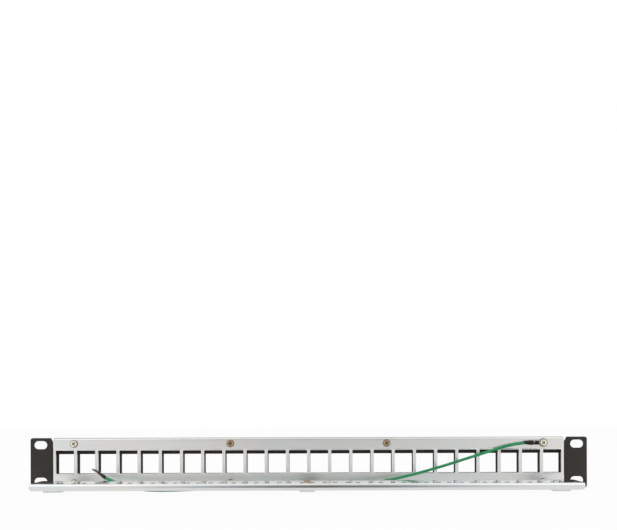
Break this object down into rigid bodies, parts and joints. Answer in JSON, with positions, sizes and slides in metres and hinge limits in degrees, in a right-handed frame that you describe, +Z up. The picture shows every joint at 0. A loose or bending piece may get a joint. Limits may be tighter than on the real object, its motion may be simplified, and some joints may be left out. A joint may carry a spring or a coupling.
{
  "type": "keystone patch panel",
  "caption": "Rack patch panel of one unit with an empty row of keystone ports, an inner port frame, a rear cable bar on arms and a ground wire.",
  "frame": {"origin": "centre of the four rack slots, on the rear face of the ears", "axes": "+X along the panel, to the right as seen from behind; +Y to the front; +Z up"},
  "size_m": [0.4826, 0.0744, 0.044],
  "materials": {
    "black_coat": "fine satin powder coat, black",
    "zinc_sheet": "zinc plated sheet steel, satin",
    "zinc_bar": "zinc plated sheet steel, bright",
    "zinc_arm": "zinc plated sheet steel, satin",
    "yellow_screw": "yellow passivated zinc, glossy",
    "zinc_fastener": "zinc plated",
    "tinned_copper": "tin plated copper, satin",
    "black_sleeve": "heat shrink sleeve, semi-matt",
    "green_insulation": "green wire insulation, satin"
  },
  "bodies": {
    "root": {"front_panel": "black_coat", "port_frame": "zinc_sheet", "cable_bar": "zinc_bar", "left_bar_arm": "zinc_arm", "centre_bar_arm": "zinc_arm", "right_bar_arm": "zinc_arm", "upper_frame_screws": "yellow_screw", "lower_frame_screws": "yellow_screw", "ground_screw": "yellow_screw", "upper_standoffs": "zinc_fastener", "lower_standoffs": "zinc_fastener", "end_arm_rivets": "zinc_fastener", "centre_arm_screw": "yellow_screw", "centre_arm_nut": "zinc_fastener", "end_arm_foot_screws": "zinc_fastener", "centre_arm_foot_screw": "zinc_fastener", "fixed_ring_terminal": "tinned_copper", "fixed_terminal_sleeve": "black_sleeve", "ground_wire": "green_insulation", "free_terminal_sleeve": "black_sleeve", "free_ring_terminal": "tinned_copper"}
  },
  "joints": []
}
